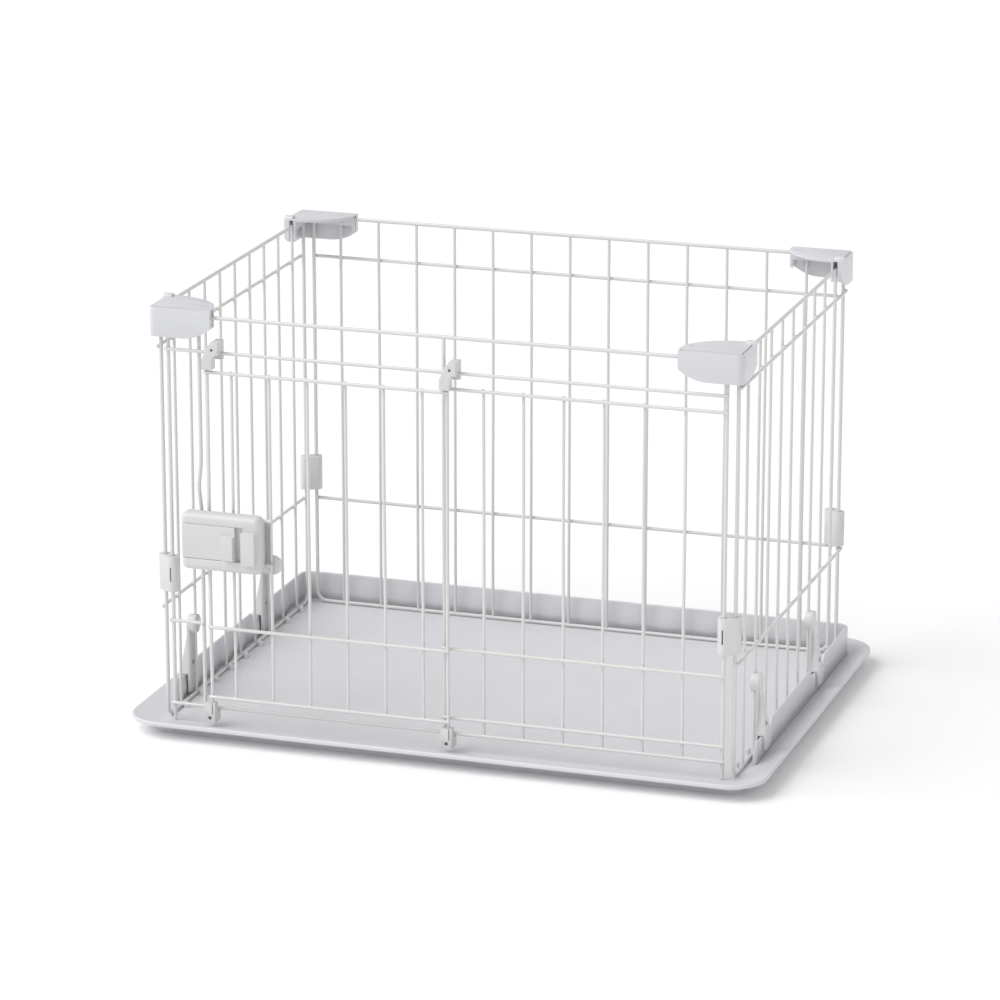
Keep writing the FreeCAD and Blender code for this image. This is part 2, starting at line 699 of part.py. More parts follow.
def lock_body():
    """Housing in front of the door, with a slideway, a spring pit and two screw bosses."""
    grip = block("lock_grip", ("lock_left + lock_width - grip_left - 4", "ridge_proud + 4",
                               "slider_high - slider_low - 3"),
                 ("grip_left - pen_width / 2", f"{LOCK_FACE} - ridge_proud", "slider_low - 1"))
    cheek = block("lock_cheek", ("8", "lock_back - door_out + 1.9 + 1", "lock_high - lock_low - 14"),
                  ("lock_left + lock_width - 10 - pen_width / 2", f"{LOCK_BACK} - 1", "lock_low + 7"))
    bosses = [rod(f"lock_boss{number}", "4", "lock_back - door_out + 1.9 + 1",
                  (x, f"{LOCK_BACK} - 1", level), ALONG_Y)
              for number, (x, level) in enumerate(SCREWS)]
    way = block("lock_way", ("grip_left - lock_left + 20", "slider_thick + 0.3",
                             "slider_high - slider_low + 0.6"),
                ("lock_left - 20 - pen_width / 2", LOCK_FACE, "slider_low - 0.3"))
    pit = block("lock_pit", ("34", "8", "8"),
                ("52 - pen_width / 2", f"{LOCK_FACE} + slider_thick - 1", "209"))
    holes = [rod(f"lock_hole{number}", "screw_rad + 0.1", "24", (x, f"{LOCK_BACK} - 6", level), ALONG_Y)
             for number, (x, level) in enumerate(SCREWS)]
    cross = "0 - pen_depth / 2 - door_out - cross_out"
    grooves = [rod(f"lock_groove_{level}", "cross_rad + 0.05", "80",
                   ("door_left - 6 - pen_width / 2", cross, level), ALONG_X)
               for level in ("lock_wire_top", "lock_wire_low")]
    whole = fused("lock_outer", [rounded_lock_box(), grip, cheek, *bosses])
    return cut("lock_body", whole, fused("lock_cuts", [way, pit, *holes, *grooves]))


def lock_slider():
    """Sliding plate of the lock with its finger ridge, and a post that pushes the spring."""
    slab = block("slider_slab", ("slider_right - slider_left", "slider_thick", "slider_high - slider_low"),
                 ("slider_left - pen_width / 2", LOCK_FACE, "slider_low"))
    ridge = block("slider_ridge", ("ridge_width", "ridge_proud + 2", "slider_high - slider_low - 12"),
                  ("slider_right - ridge_width - pen_width / 2", f"{LOCK_FACE} - ridge_proud",
                   "slider_low + 2"))
    post = block("slider_post", ("3", "6.5", "6"),
                 ("54 - pen_width / 2", f"{LOCK_FACE} + slider_thick - 0.5", "210"))
    return fused("lock_slider", [slab, ridge, post])


def lock_spring():
    """Small compression spring between the slider's post and the end of the pit."""
    coil = doc.addObject("Part::Helix", "spring_line")
    coil.Placement.Rotation = ALONG_X
    y = f"{LOCK_FACE} + slider_thick + 3.2"
    bind(coil, Radius="spring_rad", Height="28.4 - 2 * spring_wire - 0.2", Pitch="3.1",
         x="57.3 + spring_wire - pen_width / 2", y=y, z="213")
    section = doc.addObject("Part::Circle", "spring_section")
    section.Placement.Rotation = IN_XZ
    bind(section, Radius="spring_wire", x="57.3 + spring_wire - pen_width / 2", y=y, z="213 - spring_rad")
    spring = doc.addObject("Part::Sweep", "lock_spring")
    spring.Sections = [section]
    spring.Spine = (coil, [])
    spring.Solid = True
    spring.Frenet = True
    spring.Label = "lock_spring"
    return spring


def lock_back_plate():
    """Plate behind the door's wires that the screws draw against the housing."""
    plate = block("plate_slab", ("plate_right - 47", "plate_thick", "lock_high - lock_low - 11"),
                  ("47 - pen_width / 2", PLATE_FACE, "lock_low + 3"))
    lug = rod("plate_lug", "lug_rad", "plate_thick",
              ("plate_right + 1 - pen_width / 2", PLATE_FACE, "lock_low + 6.5"), ALONG_Y)
    sinks = []
    for number, (x, level) in enumerate(SCREWS):
        sinks.append(rod(f"plate_hole{number}", "screw_rad + 0.2", "20", (x, f"{PLATE_FACE} - 5", level),
                         ALONG_Y))
        sinks.append(rod(f"plate_sink{number}", "screw_head + 0.2", "20",
                         (x, f"{PLATE_FACE} + plate_thick - 1.5", level), ALONG_Y))
    return cut("lock_back_plate", fused("plate_whole", [plate, lug]), fused("plate_holes", sinks))


def lock_screws():
    """Two screws that hold the back plate to the housing's bosses."""
    screws = []
    for number, (x, level) in enumerate(SCREWS):
        shank = rod(f"screw_shank{number}", "screw_rad", "lock_back - door_out + 9.2",
                    (x, f"{LOCK_BACK} - 5", level), ALONG_Y)
        head = rod(f"screw_head{number}", "screw_head", "1.2",
                   (x, f"{PLATE_FACE} + plate_thick - 1.4", level), ALONG_Y)
        screws.append(fused(f"screw{number}", [shank, head]))
    both = doc.addObject("Part::Compound", "lock_screws")
    both.Links = screws
    both.Label = "lock_screws"
    return both


# ---------------------------------------------------------------- the whole pen

def clips():
    """Two clips on each side wall of the tray."""
    made = []
    for place in ("front", "rear"):
        left = tray_clip(f"tray_clip_left_{place}", int(cell(f"clip_{place}_place")))
        made += [left, mirrored(f"tray_clip_right_{place}", left, V(1, 0, 0))]
    return made


front_cap = corner_cap("corner_cap_front_left", "0")
back_cap = corner_cap("back_cap", "cap_lift")
tie = side_clip("middle_clip", "0")
parts = [
    tray(),
    *clips(),
    back_panel(),
    side_panel("left", -1),
    side_panel("right", 1),
    front_panel(),
    *four_corners("corner_cap", front_cap, front_cap, back_cap, back_cap),
    *four_corners("side_clip", side_clip("side_clip_front_left", "tie_lift"), tie, tie,
                  side_clip("far_clip", "0 - tie_lift")),
    door_panel(),
    door_hook("door_hook_left", "hook_left"),
    door_hook("door_hook_right", "hook_right"),
    door_guide("door_guide_left", "guide_left"),
    door_guide("door_guide_right", "guide_right"),
    lock_body(),
    lock_back_plate(),
    lock_slider(),
    lock_spring(),
    lock_screws(),
]
doc.recompute()

for thing in doc.Objects:
    if "Invalid" in thing.State or "Error" in thing.State:
        raise RuntimeError(f"{thing.Name} did not recompute: {thing.State}")
for part in parts:
    if part.Shape.isNull() or not part.Shape.isValid():
        raise RuntimeError(f"{part.Label} has no valid shape")

os.makedirs("parts", exist_ok=True)
for part in parts:
    part.Shape.exportStep(f"parts/{part.Label}.step")
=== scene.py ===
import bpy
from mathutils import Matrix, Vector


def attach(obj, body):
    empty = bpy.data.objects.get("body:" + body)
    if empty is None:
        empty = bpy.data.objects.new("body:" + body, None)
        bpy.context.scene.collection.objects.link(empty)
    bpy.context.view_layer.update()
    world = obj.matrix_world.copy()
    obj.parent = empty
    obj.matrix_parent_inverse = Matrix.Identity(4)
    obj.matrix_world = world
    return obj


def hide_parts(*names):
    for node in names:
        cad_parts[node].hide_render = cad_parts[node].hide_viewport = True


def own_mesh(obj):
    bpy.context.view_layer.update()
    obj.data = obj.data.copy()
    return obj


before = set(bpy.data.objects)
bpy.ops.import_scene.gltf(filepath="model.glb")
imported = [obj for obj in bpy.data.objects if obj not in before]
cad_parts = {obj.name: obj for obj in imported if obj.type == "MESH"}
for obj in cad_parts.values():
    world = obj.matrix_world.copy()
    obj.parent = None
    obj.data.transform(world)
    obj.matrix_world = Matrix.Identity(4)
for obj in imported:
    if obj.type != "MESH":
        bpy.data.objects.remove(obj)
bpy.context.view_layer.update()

import math

import bmesh
import bpy
import numpy as np

# ---------------------------------------------------------------------------
# Floor tray: one injection moulding in white polypropylene. It has a foot ring,
# a flared rim with a rolled lip, a raised floor that dishes up to the rim, and a
# low wall on three sides, ribbed inside, that keeps bedding in.
# ---------------------------------------------------------------------------

PEN_HALF = np.array([300.0, 209.0])
FLOOR_LEVEL, FLOOR_UNDER = 11.0, 8.5


def grid_mesh(points, round_u=False, round_v=False):
    """A surface through an array of points P(u, v) in millimetres: cell (i, j) is the
    quad P(i, j), P(i+1, j), P(i+1, j+1), P(i, j+1), closed in u or v where asked."""
    rows, cols = points.shape[:2]
    i, j = np.meshgrid(np.arange(rows if round_u else rows - 1),
                       np.arange(cols if round_v else cols - 1), indexing="ij")
    i, j = i.ravel(), j.ravel()
    di, dj = (i + 1) % rows, (j + 1) % cols
    faces = np.stack([i * cols + j, di * cols + j, di * cols + dj, i * cols + dj], axis=1)
    return points.reshape(-1, 3), faces


def joined(name, surfaces):
    """One smooth-shaded object in metres from several (points, faces) surfaces."""
    points, faces, count = [], [], 0
    for spots, quads in surfaces:
        points.append(spots)
        faces.append(quads + count)
        count += len(spots)
    mesh = bpy.data.meshes.new(name)
    mesh.from_pydata((np.concatenate(points) / 1000).tolist(), [], np.concatenate(faces).tolist())
    tidy = bmesh.new()
    tidy.from_mesh(mesh)
    bmesh.ops.remove_doubles(tidy, verts=tidy.verts, dist=1e-6)
    bmesh.ops.dissolve_degenerate(tidy, edges=tidy.edges, dist=1e-7)
    bmesh.ops.recalc_face_normals(tidy, faces=tidy.faces)
    tidy.to_mesh(mesh)
    tidy.free()
    mesh.polygons.foreach_set("use_smooth", np.ones(len(mesh.polygons), dtype=bool))
    made = bpy.data.objects.new(name, mesh)
    bpy.context.scene.collection.objects.link(made)
    return made


def round_box(over, corner=12, edge=28):
    """Rounded rectangle round the pen at each offset in over. A point's place is the
    nearest point of the inner rectangle plus the corner radius times its direction. The
    corner radius is the offset plus 2, and nothing further in than that."""
    over = np.atleast_1d(over)[:, None]
    rad = np.maximum(over + 2.0, 0.0)
    half = PEN_HALF[None, None, :] + over[..., None] - rad[..., None]
    turns, spots = [], []
    signs = [(1, -1), (1, 1), (-1, 1), (-1, -1)]
    for k, (sx, sy) in enumerate(signs):
        arc = np.linspace(k - 1, k, corner) * math.pi / 2
        turns.append(arc)
        spots.append(np.repeat([[sx, sy]], corner, axis=0))
        nx, ny = signs[(k + 1) % 4]
        step = np.linspace(0, 1, edge + 2)[1:-1, None]
        turns.append(np.full(edge, k * math.pi / 2))
        spots.append((1 - step) * np.array([sx, sy]) + step * np.array([nx, ny]))
    turn = np.concatenate(turns)
    spot = np.concatenate(spots)
    return spot[None] * half + rad[..., None] * np.stack([np.cos(turn), np.sin(turn)], 1)[None]


def moulded(name, colour, rough, grain=0.00006, scale=900.0):
    """Moulded plastic: a faint mottle in the colour, a fine spark-eroded grain and a
    slow change of gloss, all from noise on the piece's own coordinates."""
    material = bpy.data.materials.new(name)
    material.use_nodes = True
    tree = material.node_tree
    shader = tree.nodes["Principled BSDF"]
    shader.inputs["IOR"].default_value = 1.49
    shader.inputs["Subsurface Weight"].default_value = 0.06
    shader.inputs["Subsurface Radius"].default_value = (0.004, 0.004, 0.004)
    shader.inputs["Subsurface Scale"].default_value = 0.6
    place = tree.nodes.new("ShaderNodeTexCoord")
    cloud = tree.nodes.new("ShaderNodeTexNoise")
    cloud.inputs["Scale"].default_value = 22.0
    cloud.inputs["Detail"].default_value = 3.0
    tint = tree.nodes.new("ShaderNodeValToRGB")
    tint.color_ramp.elements[0].position = 0.3
    tint.color_ramp.elements[1].position = 0.75
    tint.color_ramp.elements[0].color = (*[c * 0.965 for c in colour], 1)
    tint.color_ramp.elements[1].color = (*colour, 1)
    gloss = tree.nodes.new("ShaderNodeMapRange")
    gloss.inputs["To Min"].default_value = rough - 0.05
    gloss.inputs["To Max"].default_value = rough + 0.06
    fine = tree.nodes.new("ShaderNodeTexNoise")
    fine.inputs["Scale"].default_value = scale
    fine.inputs["Detail"].default_value = 2.0
    bump = tree.nodes.new("ShaderNodeBump")
    bump.inputs["Distance"].default_value = grain
    bump.inputs["Strength"].default_value = 0.5
    link = tree.links.new
    link(place.outputs["Object"], cloud.inputs["Vector"])
    link(place.outputs["Object"], fine.inputs["Vector"])
    link(cloud.outputs["Fac"], tint.inputs["Fac"])
    link(cloud.outputs["Fac"], gloss.inputs["Value"])
    link(gloss.outputs["Result"], shader.inputs["Roughness"])
    link(tint.outputs["Color"], shader.inputs["Base Color"])
    link(fine.outputs["Fac"], bump.inputs["Height"])
    link(bump.outputs["Normal"], shader.inputs["Normal"])
    return material


def tray_shell():
    """Profile (distance outside the wires, height) carried round the rounded rectangle: the
    floor, the slope up to the rim, the rolled lip, the flare back under it, the foot ring's
    heel and the underside of the floor. The lip and the heel are quarter circles."""
    lip_rad, heel_rad = 1.6, 0.6
    bend = np.linspace(0, math.pi / 2, 7)
    lip = np.stack([34.4 + lip_rad * np.sin(bend), 17.4 + lip_rad * np.cos(bend)], 1)
    heel = np.stack([10.4 + heel_rad * np.cos(bend), heel_rad - heel_rad * np.sin(bend)], 1)
    rise = np.linspace(0, 1, 9)
    slope = np.stack([6 + 27.5 * rise, FLOOR_LEVEL + 7.7 * (0.85 * rise + 0.15 * rise ** 2)], 1)
    across = np.array([-209.0, -120.0, -20.0])
    above = np.stack([np.append(across, 2.0), np.full(4, FLOOR_LEVEL)], 1)
    below = np.stack([across[::-1], np.full(3, FLOOR_UNDER)], 1)
    profile = np.concatenate([
        above, slope, lip,
        [[36.0, 16.4], [35.9, 15.2], [35.4, 14.6], [34.6, 14.4]],
        [[24.0, 10.2], [13.4, 4.6], [11.6, 3.5], [11.0, 2.4]], heel,
        [[8.6, 0.0], [8.1, 0.1], [8.0, 0.6], [8.0, 8.0], [7.6, FLOOR_UNDER]], below])
    flat = round_box(profile[:, 0])
    high = np.repeat(profile[:, 1:], flat.shape[1], axis=1)[..., None]
    return grid_mesh(np.concatenate([flat, high], axis=2), round_v=True)


SIDE_PITCH, BACK_PITCH = (418 - 80.6) / 8, 518 / 12
SIDE_BARS = -209 + 40.3 + SIDE_PITCH * np.arange(9)
BACK_BARS = -259 + BACK_PITCH * np.arange(13)
CLIP_BARS = SIDE_BARS[[1, 6]]


def tray_wall():
    """Fluted wall: the inner face swings inwards by |sin| ** 1.5 lobes at the bar spacing, and
    the top edge dips smoothly at the clips and rounds down to the floor at both front ends."""
    side_x, back_y = PEN_HALF + 10.0
    start, corner = -209 + 48.0, 12.0
    side_count, back_count = 200, 360
    straight = np.linspace(start, back_y - corner, side_count)
    bend = np.linspace(0, math.pi / 2, 14)[1:-1]
    back = np.linspace(side_x - corner, corner - side_x, back_count)
    fan = np.stack([np.cos(bend), np.sin(bend)], 1)
    right = np.stack([np.full(side_count, side_x), straight], 1)
    turn = np.array([side_x, back_y]) - corner + corner * fan
    behind = np.stack([back, np.full(back_count, back_y)], 1)
    path = np.concatenate([right, turn, behind, turn[::-1] * [-1, 1], right[::-1] * [-1, 1]])
    out = np.concatenate([np.repeat([[1, 0]], side_count, 0), fan,
                          np.repeat([[0, 1]], back_count, 0), fan[::-1] * [-1, 1],
                          np.repeat([[-1, 0]], side_count, 0)])
    x, y = path.T
    on_side = np.abs(x) > side_x - 0.1
    swing = np.where(on_side, (y - SIDE_BARS[0]) / SIDE_PITCH, (x - BACK_BARS[0]) / BACK_PITCH)
    lobe = np.abs(np.sin(math.pi * swing)) ** 1.5
    inside = np.where(on_side, (y > SIDE_BARS[0]) & (y < SIDE_BARS[-1]), np.abs(x) < 258)
    flute_depth, dip_depth, foot, full_high, end_high = 2.2, 8.9, 10.2, 42.8, 12.5
    flute = np.where(inside, flute_depth * lobe, 0.0)
    dip = np.zeros(len(x))
    for bar in CLIP_BARS:
        reach = np.clip((np.abs(y - bar) - 22) / 8, 0, 1)
        dip = np.maximum(dip, np.where(on_side, 1 - reach * reach * (3 - 2 * reach), 0))
    along = np.clip((y - start) / 14, 0, 1)
    ends = np.where(on_side, np.sqrt(np.clip(1 - (1 - along) ** 2, 0, 1)), 1.0)
    top = (full_high - dip_depth * dip) * ends + end_high * (1 - ends)
    thin = np.ones(len(x))
    thin[[0, -1]] = 0.0
    thin[[1, -2]] = 0.75
    half_thick = 1.5
    half = half_thick * thin
    shoulder = top - half_thick
    columns = []
    for rise in (0.0, 0.35, 0.62, 0.78):
        keep = 1.0 if rise < 0.7 else 0.35
        columns.append((-half - flute * keep, foot + (shoulder - foot) * rise))
    for lean in np.linspace(math.pi, 0, 9):
        columns.append((half * np.cos(lean), shoulder + half * math.sin(lean)))
    for rise in (0.6, 0.0):
        columns.append((half, foot + (shoulder - foot) * rise))
    points = np.stack([np.concatenate([path + out * across[:, None], high[:, None]], axis=1)
                       for across, high in columns], axis=1)
    return grid_mesh(points, round_v=True)


def pins():
    """Locating pins: a radius that falls as a quarter circle over the top, turned about Z."""
    pin_rad = 2.6
    bend = np.linspace(0, math.pi / 2, 5)
    rad = np.concatenate([[pin_rad + 0.3, pin_rad], pin_rad * np.cos(bend)])
    high = np.concatenate([[10.6, 11.6], 15.2 + 2.3 * np.sin(bend)])
    turn = np.linspace(0, 2 * math.pi, 17)[:-1]
    made = []
    for side in (-294.0, 294.0):
        for bar in SIDE_BARS:
            ring = np.stack([side + rad[:, None] * np.cos(turn), bar + rad[:, None] * np.sin(turn),
                             np.repeat(high[:, None], 16, 1)], axis=2)
            made.append(grid_mesh(ring, round_v=True))
    return made


def floor_ribs():
    """Stiffening ribs below the floor: a rounded oblong section, from |cos| ** 0.4 and
    |sin| ** 0.4 with their signs, carried from front to back."""
    middle, reach = 4.5, 215.9
    bend = np.linspace(0, 2 * math.pi, 25)[:-1]
    across = 2 * np.sign(np.cos(bend)) * np.abs(np.cos(bend)) ** 0.4
    high = middle * np.sign(np.sin(bend)) * np.abs(np.sin(bend)) ** 0.4
    made = []
    for x in (-150.0, 0.0, 150.0):
        runs = np.array([-reach, -reach, reach, reach])
        grow = np.array([0.0, 1.0, 1.0, 0.0])[:, None]
        points = np.stack([x + grow * across, np.repeat(runs[:, None], 24, 1),
                           middle + grow * high], axis=2)
        made.append(grid_mesh(points, round_v=True))
    return made


white_tray = moulded("white_tray_plastic", (0.69, 0.69, 0.72), 0.36)
tray = joined("floor_tray", [tray_shell(), tray_wall(), *pins(), *floor_ribs()])
tray.data.materials.append(white_tray)
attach(tray, "base")
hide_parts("tray")

# ---------------------------------------------------------------------------
# Wire panels: drawn steel wire, cut, bent and spot welded at every crossing, then
# dipped in white plastic coating that runs into the welds and rounds the cut ends.
# ---------------------------------------------------------------------------


def wire(points, rad, normal, closed=False, sides=14):
    """Round wire along a path: P(u, a) = C(u) + r(u) (cos a * side(u) + sin a * normal),
    where r falls to nothing as a quarter circle over the last bit at each cut end."""
    points = np.asarray(points, dtype=float)
    normal = np.asarray(normal, dtype=float)
    if closed:
        tangent = np.roll(points, -1, axis=0) - np.roll(points, 1, axis=0)
        size = np.full(len(points), rad)
    else:
        first, last = points[0], points[-1]
        head = (points[1] - first) / np.linalg.norm(points[1] - first)
        tail = (last - points[-2]) / np.linalg.norm(last - points[-2])
        bend = np.linspace(0, math.pi / 2, 5)
        lead = first + head * (rad * (1 - np.cos(bend)))[:, None]
        trail = last - tail * (rad * (1 - np.cos(bend[::-1])))[:, None]
        points = np.concatenate([lead, points[1:-1], trail])
        taper = rad * np.sin(bend)
        size = np.concatenate([taper, np.full(len(points) - 10, rad), taper[::-1]])
        tangent = np.gradient(points, axis=0)
        tangent[:5] = head
        tangent[-5:] = tail
    tangent /= np.linalg.norm(tangent, axis=1, keepdims=True)
    side = np.cross(tangent, normal)
    side /= np.linalg.norm(side, axis=1, keepdims=True)
    turn = np.linspace(0, 2 * math.pi, sides + 1)[:-1]
    spots = (points[:, None] + size[:, None, None] * (np.cos(turn)[:, None] * side[:, None]
             + np.sin(turn)[:, None] * normal))
    return grid_mesh(spots, round_u=closed, round_v=True)


def beads(centres, radii, count=10):
    """Weld beads: an ellipsoid grid C + (a cos p cos q, b cos p sin q, c sin p) at each crossing."""
    tilt = np.linspace(-math.pi / 2, math.pi / 2, 7)[:, None]
    turn = np.linspace(0, 2 * math.pi, count + 1)[:-1]
    unit = np.stack([np.cos(tilt) * np.cos(turn), np.cos(tilt) * np.sin(turn),
                     np.sin(tilt) * np.ones(count)], axis=2)
    return [grid_mesh(np.array(centre) + unit * np.array(radii), round_v=True)
            for centre in centres]


class Grill:
    """One welded panel, drawn in its own plane: run along it, height, and depth outwards."""

    def __init__(self, place, normal, seed):
        self.place = place
        self.normal = np.array(normal, dtype=float)
        self.noise = np.random.default_rng(seed)
        self.made = []
        self.uprights = []
        self.rails = []

    def spots(self, run, high, out):
        """Points in space from places along the panel, heights and depths outwards."""
        run, high, out = np.broadcast_arrays(run, high, out)
        return np.stack(self.place(run, high, out), axis=-1)

    def upright(self, run, low, top, rad=1.6, kink=None):
        """Bar with a slight bow, the sum of one and two half sine waves. A kink is a bell
        curve instead: its height, its half length and how far it goes."""
        high = np.linspace(low, top, 26)
        bow = self.noise.normal(0, 0.16, 2)
        part = (high - low) / (top - low)
        sway = bow[0] * np.sin(math.pi * part) + bow[1] * np.sin(2 * math.pi * part)
        if kink:
            high = np.linspace(low, top, 90)
            sway = -kink[2] * np.exp(-((high - kink[0]) / kink[1]) ** 2)
        self.made.append(wire(self.spots(run + sway, high, 0.0), rad, self.normal))
        self.uprights.append((run, low, top, rad))

    def rail(self, start, end, high, rad=1.8, out=3.2):
        """Wire along the panel that sags or rises by half a sine wave between its ends."""
        run = np.linspace(start, end, 30)
        part = (run - start) / (end - start)
        sway = self.noise.normal(0, 0.12) * np.sin(math.pi * part)
        self.made.append(wire(self.spots(run, high + sway, out), rad, self.normal))
        self.rails.append((high, start, end, rad, out))

    def outline(self, near, far, low, top, rad=2.0, bend=11.0, legs=False):
        """Bent outer wire: straights joined by quarter circles, closed or open in two legs."""
        arc = np.linspace(0, math.pi / 2, 9)
        right = self.spots(far - bend + bend * np.cos(arc), top - bend + bend * np.sin(arc), 0.0)
        left = self.spots(near + bend - bend * np.sin(arc), top - bend + bend * np.cos(arc), 0.0)
        if legs:
            path = np.concatenate([self.spots(far, np.linspace(low, top - 20, 12), 0.0), right, left,
                                   self.spots(near, np.linspace(top - 20, low, 12), 0.0)])
            self.made.append(wire(path, rad, self.normal))
        else:
            under = self.spots(near + bend - bend * np.cos(arc), low + bend - bend * np.sin(arc), 0.0)
            last = self.spots(far - bend + bend * np.sin(arc), low + bend - bend * np.cos(arc), 0.0)
            path = np.concatenate([right, left, under, last])
            self.made.append(wire(path, rad, self.normal, closed=True))
            self.rails.append((low, near, far, rad, 0.0))
            self.rails.append((top, near, far, rad, 0.0))
        self.uprights.append((near, low, top, rad))
        self.uprights.append((far, low, top, rad))

    def weld(self, name, body, *nodes):
        """Join the wires, with a bead wherever an upright meets a rail, into one piece."""
        sizes = (2.5, 1.7, 2.5) if abs(self.normal[1]) > 0.5 else (1.7, 2.5, 2.5)
        centres = [self.spots(run, high, out * 0.5) for run, low, top, rad in self.uprights
                   for high, start, end, thick, out in self.rails
                   if out and low - 3 < high < top + 3 and start - 1 < run < end + 1]
        made = joined(name, self.made + beads(centres, sizes))
        made.data.materials.append(white_coat)
        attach(made, body)
        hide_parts(*nodes)
        return made


def coated(name):
    """Dipped coating on wire: near white, glossy, with the soft orange peel of a thick coat."""
    material = moulded(name, (0.69, 0.69, 0.68), 0.24, grain=0.00012, scale=420.0)
    material.node_tree.nodes["Principled BSDF"].inputs["Coat Weight"].default_value = 0.25
    material.node_tree.nodes["Principled BSDF"].inputs["Coat Roughness"].default_value = 0.12
    return material


white_coat = coated("white_wire_coating")

BASE_LEVEL, MID_LEVEL = 13.3, 130.5
back_top, back_upper = 447, 403
back = Grill(lambda run, high, out: (run, 209 + out, high), (0, 1, 0), 11)
back.outline(-290, 290, BASE_LEVEL, back_top)
for bar in BACK_BARS:
    back.upright(bar, BASE_LEVEL, back_top)
for level in (back_upper, MID_LEVEL):
    back.rail(-293, 293, level)
back.weld("back_wires", "enclosure", "back_panel")

for name, side, top, upper in (("left", -1, 443.8, 403.7), ("right", 1, 441.4, 411.5)):
    flank = Grill(lambda run, high, out, side=side: (side * (300 + out), run, high),
                  (side, 0, 0), 20 + side)
    flank.outline(-203.3, 203.3, BASE_LEVEL, top)
    for bar in SIDE_BARS:
        flank.upright(bar, BASE_LEVEL, top)
    for level in (upper, MID_LEVEL):
        flank.rail(-206.3, 206.3, level)
    flank.weld(f"{name}_wires", "enclosure", f"{name}_panel")

# ---------------------------------------------------------------------------
# Front panel: the same coated wire. Its right half is barred, its left half is the
# doorway, and its top and bottom rails stand proud so that the door can run on them.
# ---------------------------------------------------------------------------

front_top, third_level, low_level, sill_level = 438.7, 387.4, 119, 30.5
left_stile, mid_stile = -256.9, 1.3
front = Grill(lambda run, high, out: (run, -209 - out, high), (0, -1, 0), 5)
front.outline(-290, 290, 11.4, front_top, legs=True)
front.upright(left_stile, sill_level, front_top, 2.0, kink=(262, 17, 2.6))
front.upright(mid_stile, sill_level, front_top, 2.0)
for bar in mid_stile + (290 - mid_stile) / 7 * np.arange(1, 7):
    front.upright(bar, sill_level, third_level)
rails = ((-293, 404), (-1.7, third_level), (-1.7, low_level), (-1.7, 46.5), (-293, sill_level))
for start, high in rails:
    front.rail(start, 293, high)
front.rail(-293, left_stile + 3, low_level)
front.weld("front_wires", "enclosure", "front_panel")

# ---------------------------------------------------------------------------
# Sliding door: a lighter welded grid in the same wire that hangs outside the front
# panel. Two short wires near its left edge carry the lock.
# ---------------------------------------------------------------------------

door_left, door_right = -245.6, 7.5
door_top, door_low, door_bottom = 385.5, 118.5, 44
door = Grill(lambda run, high, out: (run, -217 - out, high), (0, -1, 0), 8)
for edge in (door_left, door_right):
    door.upright(edge, 34, 396, 1.8)
door_bars = -219.55 + 40.2 * np.arange(6)
for bar in door_bars:
    door.upright(bar, door_bottom, door_top)
for high in (door_top, door_low, door_bottom):
    door.rail(door_left - 3, door_right + 3, high)
for high in (236, 190):
    door.rail(door_left - 3, door_bars[1] + 3, high)
door.weld("door_wires", "door", "door_panel")

# ---------------------------------------------------------------------------
# Corner caps: glossy white mouldings pushed down over the top corners, where they
# lock the panels' top wires together. Each is a thin top plate with two skirts.
# ---------------------------------------------------------------------------


def softened(node, body, material, width, segments=3):
    """A moulding with its edges rounded to a radius, from the solid of that name."""
    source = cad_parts[node]
    mesh = source.data.copy()
    mesh.name = f"{node}_moulding"
    tidy = bmesh.new()
    tidy.from_mesh(mesh)
    bmesh.ops.remove_doubles(tidy, verts=tidy.verts, dist=1e-6)
    bmesh.ops.dissolve_limit(tidy, angle_limit=math.radians(0.6), verts=tidy.verts, edges=tidy.edges)
    tidy.to_mesh(mesh)
    tidy.free()
    mesh.materials.clear()
    mesh.materials.append(material)
    mesh.polygons.foreach_set("use_smooth", np.ones(len(mesh.polygons), dtype=bool))
    made = bpy.data.objects.new(f"{node}_moulding", mesh)
    bpy.context.scene.collection.objects.link(made)
    edge = made.modifiers.new("rounded_edges", "BEVEL")
    edge.width = width / 1000
    edge.segments = segments
    edge.limit_method = "ANGLE"
    edge.angle_limit = math.radians(32)
    edge.harden_normals = True
    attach(made, body)
    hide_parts(node)
    return made


CORNERS = ("front_left", "front_right", "back_left", "back_right")
white_cap = moulded("white_cap_plastic", (0.665, 0.67, 0.70), 0.3)
for corner in CORNERS:
    softened(f"corner_cap_{corner}", "enclosure", white_cap, 1.6, 4)

# ---------------------------------------------------------------------------
# Side clips: small mouldings about a third of the way up each corner that snap over
# two upright wires, one of each panel.
# ---------------------------------------------------------------------------

# The clips' plastic is painted a shade lighter than the caps' plastic, to lift the shade that falls
# on the clips.
clip_painted_lighter = moulded("clip_plastic_painted_lighter", (0.68, 0.68, 0.685), 0.32)
for corner in CORNERS:
    softened(f"side_clip_{corner}", "enclosure", clip_painted_lighter, 0.8)

# ---------------------------------------------------------------------------
# Tray clips: mouldings that straddle the tray's side walls and grip one wire each.
# ---------------------------------------------------------------------------

for place in ("left_front", "left_rear", "right_front", "right_rear"):
    # The tray clips share the clips' plastic, painted a shade lighter to lift the shade on them.
    softened(f"tray_clip_{place}", "base", clip_painted_lighter, 0.5)

# ---------------------------------------------------------------------------
# Door hooks and guides: mouldings pressed on the ends of the door's edge wires.
# They run on the front panel's top rail and keep the door's foot on the bottom one.
# ---------------------------------------------------------------------------

warm_white = moulded("warm_white_plastic", (0.665, 0.668, 0.66), 0.33)
for side in ("left", "right"):
    softened(f"door_hook_{side}", "door", warm_white, 0.9)
    softened(f"door_guide_{side}", "door", warm_white, 0.9)
